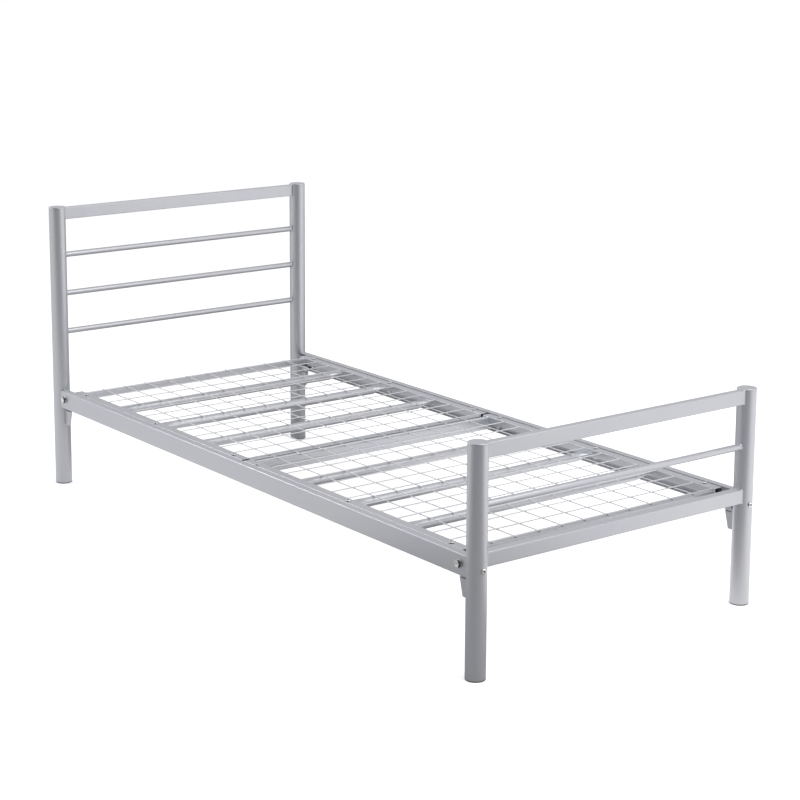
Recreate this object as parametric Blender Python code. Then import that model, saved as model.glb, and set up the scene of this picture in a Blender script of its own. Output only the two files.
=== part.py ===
"""Single metal bed frame for a 90 x 200 cm mattress.

Two welded ends (headboard and footboard) are joined by two C-section side rails. Folded corner
brackets are bolted to the rails and to the posts. Two welded deck panels of tube and wire mesh lie
between the rails and are bolted to lugs inside them, over a centre cross rail.

Metres, +Z up, +Y towards the headboard, +X to the right. The origin is on the floor under the middle.
Every sub-part is one closed solid, and touching pieces keep a gap of 0.3 mm.
"""
import math

import bmesh
import bpy
from mathutils import Vector

# ---------------------------------------------------------------- driving dimensions
GAP = 0.0003                 # left between pieces that touch
SIDES = {"left": -1, "right": 1}
ENDS = {"foot": -1, "head": 1}
SMOOTH_ANGLE = 35            # degrees; flatter edges are shaded smooth
CUT_BEYOND = 0.010           # how far a cutter runs past what it cuts
OUTER_CORNER, INNER_CORNER = 1.2, 0.4      # corner cuts of rectangular tubes, in wall thicknesses

# posts and feet
POST_X = 0.450               # post axis from the middle, across the bed
POST_Y = 1.025               # post axis from the middle, along the bed
POST_RADIUS = 0.0255
POST_WALL = 0.0015
POST_HEIGHT = {"head": 0.881, "foot": 0.5845}
POST_SEGMENTS = 24
CAP_THICK = 0.004
CAP_BEVEL = 0.0015
GLIDE_RIM = 0.003            # part of the glide that shows under the tube
GLIDE_CHAMFER = 0.001
GLIDE_SPIGOT = 0.016

# flat rails and round bars of the two ends
RAIL_OUTSET = 0.004          # their axes stand this far outside the post axes
RAIL_WALL = 0.0012
HEAD_TOP_RAIL = (0.840, 0.877, 0.020)      # lowest z, highest z, depth along Y
FOOT_TOP_RAIL = (0.544, 0.582, 0.020)
FOOT_LOWER_RAIL = (0.279, 0.3165, 0.025)
BAR_RADIUS = 0.00875
BAR_WALL = 0.0012
BAR_SEGMENTS = 16
HEAD_BARS = {"upper": 0.728, "middle": 0.606, "lower": 0.4845}
FOOT_BAR = 0.430

# C-section side rails
SIDE_OUTER_X = 0.466
SIDE_LOW, SIDE_HIGH = 0.249, 0.304
SIDE_FLANGE = 0.0225
SIDE_WALL = 0.0025
SIDE_BEND = 0.003            # outer radius of the folds
SIDE_END = 0.9992            # half length at the brackets, just short of the posts
SIDE_TIP = 1.0060            # half length before the ends are cut to the round posts
NOTCH_X = 0.4558             # the bottom flange is cut back to here near its ends, for the bracket
NOTCH_START = 0.957

# corner brackets: an angle inside the rail, and a folded tongue that hangs below it
BRACKET_WALL = 0.003
ANGLE_LOW, ANGLE_HIGH = 0.2525, 0.299
ANGLE_WEB_LEG = 0.041
ANGLE_POST_LEG = 0.0277
TONGUE_HALF_WIDTH = 0.005    # the tongue is centred on the post bolt
TONGUE_WALL = 0.002
TONGUE_LOW, TONGUE_HIGH = 0.194, 0.262
TONGUE_REACH = (0.022, 0.0394)             # from the rail's end, at the bottom and at the top
TONGUE_SLOT = (0.2400, 0.2430)
TONGUE_SLOT_REACH = 0.008    # the slot starts this far from the rail's end

# deck panels
PANEL_LENGTH = 0.953
PANEL_START = {"head": 0.0045, "foot": -0.9600}     # lowest Y of each panel
MEMBER_X = (0.4125, 0.440)
MEMBER_Z = (0.283, 0.303)
MEMBER_WALL = 0.0013
END_TUBE_DEPTH = 0.025
END_TUBE_Z = (0.2805, 0.2975)
SLAT_RADIUS = 0.0125
SLAT_WALL = 0.0012
SLAT_SEGMENTS = 12
SLAT_AXIS_Z = 0.285
SLAT_PLACES = (0.2555, 0.4895, 0.7275)              # from the foot end of the panel
SLAT_FLAT_HALF = 0.004       # half height of the pressed ends
SLAT_FLAT_Z = 0.290
SLAT_FLAT_LENGTH = 0.012
SLAT_NECK = 0.045            # where the pressed end has become round again
WIRE = 0.003
WIRE_LOW = 0.2978
WIRES_ALONG = 10
WIRES_ALONG_PITCH = 0.076
WIRES_ACROSS = 14
WIRES_ACROSS_PITCH = 0.0707
WIRES_ACROSS_FIRST = 0.0085

# lugs of the side rails and the centre cross rail
LUG_INNER_X = 0.4145
LUG_WALL = 0.003
LUG_HALF_WIDTH = 0.015
LUG_TOP = 0.2827
CENTRE_HALF_WIDTH = 0.025
CENTRE_HALF_LENGTH = 0.4605
CENTRE_LOW, CENTRE_TOP = 0.2612, 0.2802
CENTRE_WALL = 0.002
TEE_HALF_WIDTH = 0.080       # flat plate across each end of the centre rail
TEE_LOW = CENTRE_TOP - 0.0005              # the plate is welded slightly into the tube

# fasteners
M8_SHANK, M8_HOLE, M8_NUT, M8_NUT_HIGH = 0.004, 0.0044, 0.0070, 0.0065
M8_SEGMENTS = 8
DECK_BOLT_X = 0.430
DECK_BOLT_PLACES = (0.0545, 0.4755, 0.8975)         # from the middle end of each panel
DECK_HEAD_RADIUS, DECK_CROWN_RADIUS, DECK_HEAD_HIGH = 0.0067, 0.0040, 0.0040
POST_BOLT_Z = 0.275
POST_HEAD_RADIUS, POST_CROWN_RADIUS, POST_HEAD_HIGH = 0.0070, 0.0042, 0.0040
BUTTON_SIDE = 0.6            # share of a button head's height below its rounded crown
M10_SHANK, M10_HOLE = 0.005, 0.0055
M10_SEGMENTS = 12
M10_APOTHEM, M10_HEAD_HIGH, M10_NUT_HIGH = 0.0085, 0.0062, 0.006
M10_CROWN, M10_CHAMFER = 0.0073, 0.001     # apothem of the head's top face, height of its chamfer
WASHER_RADIUS, WASHER_THICK = 0.0102, 0.0016
WEB_BOLT_Y, WEB_BOLT_Z = 0.978, 0.278
BOLT_TAIL = 0.0010           # thread that stands out of the nut

# finishes: colour, roughness, metallic
SILVER_PAINT = ((0.56, 0.57, 0.60), 0.38, 0.55)
SHADED_PAINT = ((0.50, 0.51, 0.54), 0.42, 0.55)
WIRE_PAINT = ((0.54, 0.55, 0.58), 0.36, 0.6)
ZINC = ((0.72, 0.71, 0.67), 0.28, 1.0)
DARK_PLASTIC = ((0.09, 0.09, 0.10), 0.6, 0.0)


# ---------------------------------------------------------------- general helpers
def clear_scene():
    """Remove whatever the scene holds."""
    for thing in list(bpy.data.objects):
        bpy.data.objects.remove(thing, do_unlink=True)


def principled(name, finish):
    """Material with one Principled BSDF set to a finish."""
    colour, roughness, metallic = finish
    material = bpy.data.materials.new(name)
    material.use_nodes = True
    shader = material.node_tree.nodes["Principled BSDF"]
    shader.inputs["Base Color"].default_value = (*colour, 1.0)
    shader.inputs["Roughness"].default_value = roughness
    shader.inputs["Metallic"].default_value = metallic
    return material


def to_object(name, bm, finish=None, location=(0, 0, 0)):
    """Turn a bmesh into an object, with its faces pointing out and its round faces smooth."""
    bmesh.ops.recalc_face_normals(bm, faces=bm.faces)
    mesh = bpy.data.meshes.new(name)
    bm.to_mesh(mesh)
    bm.free()
    thing = bpy.data.objects.new(name, mesh)
    thing.location = location
    bpy.context.scene.collection.objects.link(thing)
    if finish:
        mesh.materials.append(principled(name + "_finish", finish))
        smooth(mesh)
    return thing


def smooth(mesh):
    mesh.shade_smooth()
    mesh.set_sharp_from_angle(angle=math.radians(SMOOTH_ANGLE))


def add_loft(bm, rings, loop=False):
    """Skin a series of rings. A loop joins the last ring to the first, else both ends are capped."""
    verts = [[bm.verts.new(point) for point in ring] for ring in rings]
    count = len(verts[0])
    pairs = list(zip(verts, verts[1:]))
    if loop:
        pairs.append((verts[-1], verts[0]))
    for lower, upper in pairs:
        for i in range(count):
            j = (i + 1) % count
            bm.faces.new((lower[i], lower[j], upper[j], upper[i]))
    if not loop:
        bm.faces.new(verts[0][::-1])
        bm.faces.new(verts[-1])


def add_box(bm, low, high):
    """Box between two corners."""
    ring = ((0, 0), (1, 0), (1, 1), (0, 1))
    corners = (low, high)
    rings = [[(corners[i][0], corners[j][1], z) for i, j in ring] for z in (low[2], high[2])]
    add_loft(bm, rings)


def add_outline(bm, outline, axis, start, stop):
    """Prism over an outline. The outline holds the other two coordinates, in X, Y, Z order."""
    rings = []
    for depth in (start, stop):
        ring = []
        for point in outline:
            place = list(point)
            place.insert("XYZ".index(axis), depth)
            ring.append(tuple(place))
        rings.append(ring)
    add_loft(bm, rings)


def circle(radius, segments):
    """Points of a circle in a plane, starting on the first axis."""
    steps = (2 * math.pi * i / segments for i in range(segments))
    return [(radius * math.cos(a), radius * math.sin(a)) for a in steps]


def hexagon(apothem):
    """Twelve points on a hexagon: its corners and the middles of its sides."""
    points = []
    for i in range(12):
        angle = math.radians(30 * i)
        offset = (angle + math.pi / 6) % (math.pi / 3) - math.pi / 6
        radius = apothem / math.cos(offset)
        points.append((radius * math.cos(angle), radius * math.sin(angle)))
    return points


def along(axis, section, distance):
    """Place a flat section across an axis, at a distance along it."""
    if axis == "X":
        return [(distance, a, b) for a, b in section]
    if axis == "Y":
        return [(b, distance, a) for a, b in section]
    return [(a, b, distance) for a, b in section]


def stacked(name, finish, axis, layers, centre):
    """Solid made of flat sections stacked along an axis: (section, distance) pairs."""
    bm = bmesh.new()
    add_loft(bm, [along(axis, section, distance) for section, distance in layers])
    return to_object(name, bm, finish, centre)


def cutter_rod(axis, radius, start, stop, centre, segments=M8_SEGMENTS):
    """Plain rod used to cut a hole."""
    section = circle(radius, segments)
    return stacked("cutter", None, axis, ((section, start), (section, stop)), centre)


def cutter_box(low, high):
    bm = bmesh.new()
    add_box(bm, low, high)
    return to_object("cutter", bm)


def combine(thing, others, operation):
    """Union or difference of an object with others, which are then removed."""
    for other in others:
        boolean = thing.modifiers.new(operation.lower(), "BOOLEAN")
        boolean.operation = operation
        boolean.solver = "EXACT"
        boolean.object = other
    graph = bpy.context.evaluated_depsgraph_get()
    result = bpy.data.meshes.new_from_object(thing.evaluated_get(graph))
    thing.modifiers.clear()
    thing.data = result
    for other in others:
        bpy.data.objects.remove(other, do_unlink=True)
    if result.materials:
        smooth(result)


def post_cutters(end):
    """Rods a gap wider than the two posts of one end, for cutting pieces to them."""
    y = ENDS[end] * POST_Y
    height = POST_HEIGHT[end]
    radius = POST_RADIUS + GAP
    return [cutter_rod("Z", radius, 0, height, (side * POST_X, y, 0), POST_SEGMENTS) for side in (-1, 1)]


def rounded_section(low, high, radius):
    """Rectangle with cut corners, as eight points."""
    (x0, y0), (x1, y1) = low, high
    r = radius
    return [
        (x0 + r, y0), (x1 - r, y0), (x1, y0 + r), (x1, y1 - r),
        (x1 - r, y1), (x0 + r, y1), (x0, y1 - r), (x0, y0 + r),
    ]


def rectangular_tube(name, finish, axis, low, high, wall, start, stop):
    """Open rectangular tube along an axis. low and high hold the other two coordinates."""
    outer = rounded_section(low, high, OUTER_CORNER * wall)
    inner = rounded_section([v + wall for v in low], [v - wall for v in high], INNER_CORNER * wall)
    rings = []
    for section, distance in ((outer, start), (outer, stop), (inner, stop), (inner, start)):
        ring = []
        for point in section:
            place = list(point)
            place.insert("XYZ".index(axis), distance)
            ring.append(tuple(place))
        rings.append(ring)
    bm = bmesh.new()
    add_loft(bm, rings, loop=True)
    return to_object(name, bm, finish)


# ---------------------------------------------------------------- headboard and footboard
def make_post(name, side, end):
    """Round tube with a welded disc on top, open at the foot, drilled for the post bolt."""
    height = POST_HEIGHT[end]
    outer = circle(POST_RADIUS, POST_SEGMENTS)
    edge = circle(POST_RADIUS - CAP_BEVEL, POST_SEGMENTS)
    inner = circle(POST_RADIUS - POST_WALL, POST_SEGMENTS)
    foot = GLIDE_RIM + GAP
    layers = (
        (inner, height - CAP_THICK), (inner, foot), (outer, foot),
        (outer, height - CAP_BEVEL), (edge, height),
    )
    post = stacked(name, SILVER_PAINT, "Z", layers, (side * POST_X, ENDS[end] * POST_Y, 0))
    hole = cutter_rod("Y", M8_HOLE, -2 * POST_RADIUS, 2 * POST_RADIUS, (
        side * POST_X, ENDS[end] * POST_Y, POST_BOLT_Z))
    combine(post, [hole], "DIFFERENCE")


def make_glide(name, side, end):
    """Plastic foot: a rim under the tube and a spigot inside it."""
    rim = circle(POST_RADIUS, POST_SEGMENTS)
    sole = circle(POST_RADIUS - GLIDE_CHAMFER, POST_SEGMENTS)
    spigot = circle(POST_RADIUS - POST_WALL - GAP, POST_SEGMENTS)
    layers = ((sole, 0), (rim, GLIDE_CHAMFER), (rim, GLIDE_RIM), (spigot, GLIDE_RIM), (spigot, GLIDE_SPIGOT))
    stacked(name, DARK_PLASTIC, "Z", layers, (side * POST_X, ENDS[end] * POST_Y, 0))


def make_end_rail(name, end, size):
    """Flat rectangular rail from post to post, its ends cut to the round posts."""
    low_z, high_z, depth = size
    centre = ENDS[end] * (POST_Y + RAIL_OUTSET)
    low = (centre - depth / 2, low_z)
    high = (centre + depth / 2, high_z)
    rail = rectangular_tube(name, SILVER_PAINT, "X", low, high, RAIL_WALL, -POST_X, POST_X)
    combine(rail, post_cutters(end), "DIFFERENCE")


def make_end_bar(name, end, height):
    """Thin round tube from post to post, its ends cut to the round posts."""
    outer = circle(BAR_RADIUS, BAR_SEGMENTS)
    inner = circle(BAR_RADIUS - BAR_WALL, BAR_SEGMENTS)
    rings = []
    for section, distance in ((outer, -POST_X), (outer, POST_X), (inner, POST_X), (inner, -POST_X)):
        rings.append(along("X", section, distance))
    bm = bmesh.new()
    add_loft(bm, rings, loop=True)
    bar = to_object(name, bm, SILVER_PAINT, (0, ENDS[end] * (POST_Y + RAIL_OUTSET), height))
    combine(bar, post_cutters(end), "DIFFERENCE")


# ---------------------------------------------------------------- side rails
def channel_outline(side):
    """Outline of the C in X and Z, open towards the mattress, with rounded folds."""
    lip = SIDE_OUTER_X - SIDE_FLANGE
    inner_x = SIDE_OUTER_X - SIDE_WALL
    bend, wall = SIDE_BEND, SIDE_WALL
    low, high = SIDE_LOW, SIDE_HIGH
    diagonal = bend * (1 - math.sqrt(0.5))
    outline = [
        (lip, low), (SIDE_OUTER_X - bend, low), (SIDE_OUTER_X - diagonal, low + diagonal),
        (SIDE_OUTER_X, low + bend), (SIDE_OUTER_X, high - bend),
        (SIDE_OUTER_X - diagonal, high - diagonal), (SIDE_OUTER_X - bend, high), (lip, high),
        (lip, high - wall), (inner_x, high - wall), (inner_x, low + wall), (lip, low + wall),
    ]
    return [(side * x, z) for x, z in outline]


def deck_bolt_positions():
    """Y of the six deck bolts of one side, from the foot to the head."""
    foot_edge = PANEL_START["foot"] + PANEL_LENGTH
    foot = [foot_edge - place for place in reversed(DECK_BOLT_PLACES)]
    head = [PANEL_START["head"] + place for place in DECK_BOLT_PLACES]
    return foot + head


def lug_top(y):
    """The two middle lugs lie one plate lower, under the plate of the centre rail."""
    if abs(y) < TEE_HALF_WIDTH:
        return TEE_LOW - GAP
    return LUG_TOP


def make_side_rail(name, side):
    """C-section rail cut to the posts, with six welded lugs, notches for the brackets and bolt holes."""
    bm = bmesh.new()
    add_outline(bm, channel_outline(side), "Y", -SIDE_TIP, SIDE_TIP)
    rail = to_object(name, bm, SILVER_PAINT)
    lugs = []
    holes = post_cutters("foot") + post_cutters("head")
    weld_x = SIDE_OUTER_X - SIDE_WALL / 2
    for y in deck_bolt_positions():
        top = lug_top(y)
        xs = sorted((side * LUG_INNER_X, side * weld_x))
        low = (xs[0], y - LUG_HALF_WIDTH, top - LUG_WALL)
        high = (xs[1], y + LUG_HALF_WIDTH, top)
        lugs.append(cutter_box(low, high))
        centre = (side * DECK_BOLT_X, y, top - LUG_WALL / 2)
        holes.append(cutter_rod("Z", M8_HOLE, -LUG_WALL, LUG_WALL, centre))
    combine(rail, lugs, "UNION")
    for end in ENDS.values():
        xs = sorted((side * LUG_INNER_X, side * NOTCH_X))
        ys = sorted((end * NOTCH_START, end * (SIDE_TIP + GAP)))
        holes.append(cutter_box((xs[0], ys[0], SIDE_LOW - GAP), (xs[1], ys[1], ANGLE_LOW)))
        centre = (side * SIDE_OUTER_X, end * WEB_BOLT_Y, WEB_BOLT_Z)
        holes.append(cutter_rod("X", M10_HOLE, -2 * SIDE_WALL, SIDE_WALL, centre, M10_SEGMENTS))
    combine(rail, holes, "DIFFERENCE")


# ---------------------------------------------------------------- corner brackets
def tongue_outline(end):
    """Side of the tongue in Y and Z: it tapers downwards and is slotted from its free edge."""
    def free_edge(z):
        share = (z - TONGUE_LOW) / (TONGUE_HIGH - TONGUE_LOW)
        return SIDE_END - TONGUE_REACH[0] - share * (TONGUE_REACH[1] - TONGUE_REACH[0])

    slot_low, slot_high = TONGUE_SLOT
    slot_end = SIDE_END - TONGUE_SLOT_REACH
    outline = [
        (SIDE_END, TONGUE_LOW), (free_edge(TONGUE_LOW), TONGUE_LOW), (free_edge(slot_low), slot_low),
        (slot_end, slot_low), (slot_end, slot_high), (free_edge(slot_high), slot_high),
        (free_edge(TONGUE_HIGH), TONGUE_HIGH), (SIDE_END, TONGUE_HIGH),
    ]
    return [(end * y, z) for y, z in outline]


def make_tongue(side, end):
    """Folded U with its closed edge towards the mattress, open towards the post."""
    centre_x = side * POST_X
    bm = bmesh.new()
    outside = (centre_x - TONGUE_HALF_WIDTH, centre_x + TONGUE_HALF_WIDTH)
    add_outline(bm, tongue_outline(end), "X", *outside)
    tongue = to_object("tongue", bm)
    slope = (TONGUE_REACH[1] - TONGUE_REACH[0]) / (TONGUE_HIGH - TONGUE_LOW)
    low_edge = SIDE_END - TONGUE_REACH[0] + TONGUE_WALL + slope * CUT_BEYOND
    high_edge = SIDE_END - TONGUE_REACH[1] + TONGUE_WALL - slope * CUT_BEYOND
    low_z, high_z = TONGUE_LOW - CUT_BEYOND, TONGUE_HIGH + CUT_BEYOND
    open_y = SIDE_END + CUT_BEYOND
    hollow = [(open_y, low_z), (low_edge, low_z), (high_edge, high_z), (open_y, high_z)]
    bm = bmesh.new()
    inside = (outside[0] + TONGUE_WALL, outside[1] - TONGUE_WALL)
    add_outline(bm, [(end * y, z) for y, z in hollow], "X", *inside)
    combine(tongue, [to_object("cutter", bm)], "DIFFERENCE")
    return tongue


def make_bracket(name, side, end_name):
    """Angle behind the rail's web and against the post, with the tongue welded under it."""
    end = ENDS[end_name]
    corner_x = side * (SIDE_OUTER_X - SIDE_WALL - GAP)
    corner_y = end * SIDE_END
    folded = [
        (0, 0), (ANGLE_POST_LEG, 0), (ANGLE_POST_LEG, BRACKET_WALL), (BRACKET_WALL, BRACKET_WALL),
        (BRACKET_WALL, ANGLE_WEB_LEG), (0, ANGLE_WEB_LEG),
    ]
    outline = [(corner_x - side * x, corner_y - end * y) for x, y in folded]
    bm = bmesh.new()
    add_outline(bm, outline, "Z", ANGLE_LOW, ANGLE_HIGH)
    bracket = to_object(name, bm, SILVER_PAINT)
    combine(bracket, [make_tongue(side, end)], "UNION")
    web_centre = (corner_x - side * BRACKET_WALL / 2, end * WEB_BOLT_Y, WEB_BOLT_Z)
    web_hole = cutter_rod("X", M10_HOLE, -BRACKET_WALL, BRACKET_WALL, web_centre, M10_SEGMENTS)
    post_centre = (side * POST_X, corner_y, POST_BOLT_Z)
    post_hole = cutter_rod("Y", M8_HOLE, -2 * BRACKET_WALL, 2 * BRACKET_WALL, post_centre)
    combine(bracket, [web_hole, post_hole], "DIFFERENCE")


# ---------------------------------------------------------------- deck panels
def make_panel_side(name, side, end_name):
    """Rectangular tube along one side of a deck panel, drilled for three bolts."""
    start = PANEL_START[end_name]
    xs = sorted((side * MEMBER_X[0], side * MEMBER_X[1]))
    low = (xs[0], MEMBER_Z[0])
    high = (xs[1], MEMBER_Z[1])
    tube = rectangular_tube(name, SILVER_PAINT, "Y", low, high, MEMBER_WALL, start, start + PANEL_LENGTH)
    middle = (MEMBER_Z[0] + MEMBER_Z[1]) / 2
    tall = MEMBER_Z[1] - MEMBER_Z[0]
    holes = []
    for y in deck_bolt_positions():
        if start < y < start + PANEL_LENGTH:
            holes.append(cutter_rod("Z", M8_HOLE, -tall, tall, (side * DECK_BOLT_X, y, middle)))
    combine(tube, holes, "DIFFERENCE")


def make_panel_end(name, low_y):
    """Rectangular tube across one end of a deck panel."""
    half = MEMBER_X[0] - GAP
    low = (low_y, END_TUBE_Z[0])
    high = (low_y + END_TUBE_DEPTH, END_TUBE_Z[1])
    rectangular_tube(name, SILVER_PAINT, "X", low, high, MEMBER_WALL, -half, half)


def slat_ring(distance, wall):
    """Section of a slat: round in the middle, pressed flat and slightly raised at the ends."""
    half = MEMBER_X[0] - GAP
    from_end = half - abs(distance)
    flat = min(max((SLAT_NECK - from_end) / (SLAT_NECK - SLAT_FLAT_LENGTH), 0.0), 1.0)
    tall = SLAT_RADIUS + flat * (SLAT_FLAT_HALF - SLAT_RADIUS)
    wide = SLAT_RADIUS * math.sqrt(2 - (tall / SLAT_RADIUS) ** 2)
    lift = SLAT_AXIS_Z + flat * (SLAT_FLAT_Z - SLAT_AXIS_Z)
    section = circle(1.0, SLAT_SEGMENTS)
    return [(distance, (wide - wall) * a, lift + (tall - wall) * b) for a, b in section]


def make_slat(name, y):
    """Round tube slat across a deck panel, its ends pressed flat against the side members."""
    half = MEMBER_X[0] - GAP
    stations = [-half, SLAT_FLAT_LENGTH - half, SLAT_NECK - half]
    stations += [-distance for distance in reversed(stations)]
    rings = [slat_ring(distance, 0.0) for distance in stations]
    rings += [slat_ring(distance, SLAT_WALL) for distance in reversed(stations)]
    bm = bmesh.new()
    add_loft(bm, rings, loop=True)
    to_object(name, bm, SHADED_PAINT, (0, y, 0))


def make_mesh(name, low_y):
    """Welded wire mesh as one closed grid: its cells are open and its wires are square."""
    half = WIRE / 2
    rows = [low_y + WIRES_ACROSS_FIRST + WIRES_ACROSS_PITCH * k for k in range(WIRES_ACROSS)]
    middle = (WIRES_ALONG - 1) / 2
    columns = [(k - middle) * WIRES_ALONG_PITCH for k in range(WIRES_ALONG)]
    end_x = MEMBER_X[0] - GAP
    xs = [-end_x] + [edge for x in columns for edge in (x - half, x + half)] + [end_x]
    ys = [low_y] + [edge for y in rows for edge in (y - half, y + half)] + [low_y + PANEL_LENGTH]
    bm = bmesh.new()
    grid = [[bm.verts.new((x, y, WIRE_LOW)) for y in ys] for x in xs]
    for i in range(len(xs) - 1):
        for j in range(len(ys) - 1):
            if i % 2 or j % 2:
                bm.faces.new((grid[i][j], grid[i + 1][j], grid[i + 1][j + 1], grid[i][j + 1]))
    loose = [vert for vert in bm.verts if not vert.link_faces]
    bmesh.ops.delete(bm, geom=loose, context="VERTS")
    lower = list(bm.faces)
    upper = bmesh.ops.extrude_face_region(bm, geom=lower, use_keep_orig=True)["geom"]
    lifted = [item for item in upper if isinstance(item, bmesh.types.BMVert)]
    bmesh.ops.translate(bm, verts=lifted, vec=Vector((0, 0, WIRE)))
    to_object(name, bm, WIRE_PAINT)


def make_panel(end_name):
    """All the welded pieces of one deck panel."""
    start = PANEL_START[end_name]
    for side_name, side in SIDES.items():
        make_panel_side(f"{end_name}_panel_side_{side_name}", side, end_name)
    stop = start + PANEL_LENGTH - END_TUBE_DEPTH
    outer, inner = (stop, start) if end_name == "head" else (start, stop)
    make_panel_end(f"{end_name}_panel_outer_end", outer)
    make_panel_end(f"{end_name}_panel_inner_end", inner)
    for index, place in enumerate(SLAT_PLACES, start=1):
        make_slat(f"{end_name}_panel_slat_{index}", start + place)
    make_mesh(f"{end_name}_panel_mesh", start)


def make_centre_rail():
    """Flat tube under the middle of the deck, with a plate across each end for the deck bolts."""
    low = (-CENTRE_HALF_WIDTH, CENTRE_LOW)
    high = (CENTRE_HALF_WIDTH, CENTRE_TOP)
    span = (-CENTRE_HALF_LENGTH, CENTRE_HALF_LENGTH)
    rail = rectangular_tube("centre_cross_rail", SHADED_PAINT, "X", low, high, CENTRE_WALL, *span)
    plates = []
    holes = []
    for side in SIDES.values():
        xs = sorted((side * LUG_INNER_X, side * CENTRE_HALF_LENGTH))
        plates.append(cutter_box((xs[0], -TEE_HALF_WIDTH, TEE_LOW), (xs[1], TEE_HALF_WIDTH, LUG_TOP)))
        for y in deck_bolt_positions():
            if abs(y) < TEE_HALF_WIDTH:
                centre = (side * DECK_BOLT_X, y, LUG_TOP)
                holes.append(cutter_rod("Z", M8_HOLE, -2 * LUG_WALL, LUG_WALL, centre))
    combine(rail, plates, "UNION")
    combine(rail, holes, "DIFFERENCE")


# ---------------------------------------------------------------- fasteners
def bolt_layers(head, shank, nut, grip, direction):
    """Layers of a bolt with its nut. Distance 0 is under the head, and grip is the clamped length."""
    head_section, head_high, crown = head
    nut_section, nut_high = nut
    layers = [(crown, head_high), (head_section, head_high * BUTTON_SIDE), (head_section, GAP)]
    layers += [(shank, GAP), (shank, -grip - GAP), (nut_section, -grip - GAP)]
    layers += [(nut_section, -grip - GAP - nut_high), (shank, -grip - GAP - nut_high)]
    layers += [(shank, -grip - GAP - nut_high - BOLT_TAIL)]
    return [(section, direction * distance) for section, distance in layers]


def make_deck_bolt(name, side, y):
    """Small round-headed bolt down through a panel's side member into its lug."""
    crown = circle(DECK_CROWN_RADIUS, M8_SEGMENTS)
    head = (circle(DECK_HEAD_RADIUS, M8_SEGMENTS), DECK_HEAD_HIGH, crown)
    nut = (circle(M8_NUT, M8_SEGMENTS), M8_NUT_HIGH)
    grip = MEMBER_Z[1] - (lug_top(y) - LUG_WALL)
    layers = bolt_layers(head, circle(M8_SHANK, M8_SEGMENTS), nut, grip, 1)
    stacked(name, ZINC, "Z", layers, (side * DECK_BOLT_X, y, MEMBER_Z[1]))


def make_post_bolt(name, side, end):
    """Button-headed bolt along the bed, through a post and the bracket behind it."""
    crown = circle(POST_CROWN_RADIUS, M8_SEGMENTS)
    head = (circle(POST_HEAD_RADIUS, M8_SEGMENTS), POST_HEAD_HIGH, crown)
    nut = (circle(M8_NUT, M8_SEGMENTS), M8_NUT_HIGH)
    outside = POST_Y + POST_RADIUS
    grip = outside - (SIDE_END - BRACKET_WALL)
    layers = bolt_layers(head, circle(M8_SHANK, M8_SEGMENTS), nut, grip, end)
    stacked(name, ZINC, "Y", layers, (side * POST_X, end * outside, POST_BOLT_Z))


def make_web_bolt(name, side, end):
    """Hexagon-headed bolt with a washer, through a side rail's web and the bracket behind it."""
    washer = circle(WASHER_RADIUS, M10_SEGMENTS)
    shank = circle(M10_SHANK, M10_SEGMENTS)
    crown = hexagon(M10_CROWN)
    head = hexagon(M10_APOTHEM)
    top = GAP + WASHER_THICK + M10_HEAD_HIGH
    grip = SIDE_WALL + BRACKET_WALL + GAP
    nut_top = -grip - GAP
    nut_low = nut_top - M10_NUT_HIGH
    layers = (
        (crown, top), (head, top - M10_CHAMFER), (head, GAP + WASHER_THICK), (washer, GAP + WASHER_THICK),
        (washer, GAP), (shank, GAP), (shank, nut_top), (head, nut_top), (head, nut_low),
        (shank, nut_low), (shank, nut_low - BOLT_TAIL),
    )
    placed = [(section, side * distance) for section, distance in layers]
    stacked(name, ZINC, "X", placed, (side * SIDE_OUTER_X, end * WEB_BOLT_Y, WEB_BOLT_Z))


# ---------------------------------------------------------------- assembly
def build():
    clear_scene()
    for side_name, side in SIDES.items():
        for end_name, end in ENDS.items():
            place = f"{end_name}_{side_name}"
            make_post(f"{end_name}_post_{side_name}", side, end_name)
            make_glide(f"glide_{place}", side, end_name)
            make_bracket(f"bracket_{place}", side, end_name)
            make_web_bolt(f"web_bolt_{place}", side, end)
            make_post_bolt(f"post_bolt_{place}", side, end)
        make_side_rail(f"side_rail_{side_name}", side)
        for index, y in enumerate(deck_bolt_positions(), start=1):
            make_deck_bolt(f"deck_bolt_{side_name}_{index}", side, y)
    make_end_rail("head_top_rail", "head", HEAD_TOP_RAIL)
    for name, height in HEAD_BARS.items():
        make_end_bar(f"head_bar_{name}", "head", height)
    make_end_rail("foot_top_rail", "foot", FOOT_TOP_RAIL)
    make_end_bar("foot_bar", "foot", FOOT_BAR)
    make_end_rail("foot_lower_rail", "foot", FOOT_LOWER_RAIL)
    for end_name in ENDS:
        make_panel(end_name)
    make_centre_rail()


build()
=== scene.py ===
"""Looks of the metal bed frame: finer meshes for its tubes, wires, brackets and bolts, procedural
paint, zinc and plastic, a pale floor, soft light and the camera.

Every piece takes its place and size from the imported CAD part. All of it rides on the one body.
"""

import math
import random

import bmesh
import bpy
from mathutils import Euler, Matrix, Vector, noise


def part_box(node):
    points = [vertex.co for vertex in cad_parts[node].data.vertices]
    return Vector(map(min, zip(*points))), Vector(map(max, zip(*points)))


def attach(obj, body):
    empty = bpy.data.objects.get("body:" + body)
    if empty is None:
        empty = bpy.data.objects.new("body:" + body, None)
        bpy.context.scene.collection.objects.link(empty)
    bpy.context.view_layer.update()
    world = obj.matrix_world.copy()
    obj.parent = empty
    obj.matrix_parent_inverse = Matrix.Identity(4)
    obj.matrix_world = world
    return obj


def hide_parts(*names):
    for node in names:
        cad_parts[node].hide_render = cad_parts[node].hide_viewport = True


BODY = "root"
SIDES = {"left": -1, "right": 1}
ENDS = {"foot": -1, "head": 1}

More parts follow.
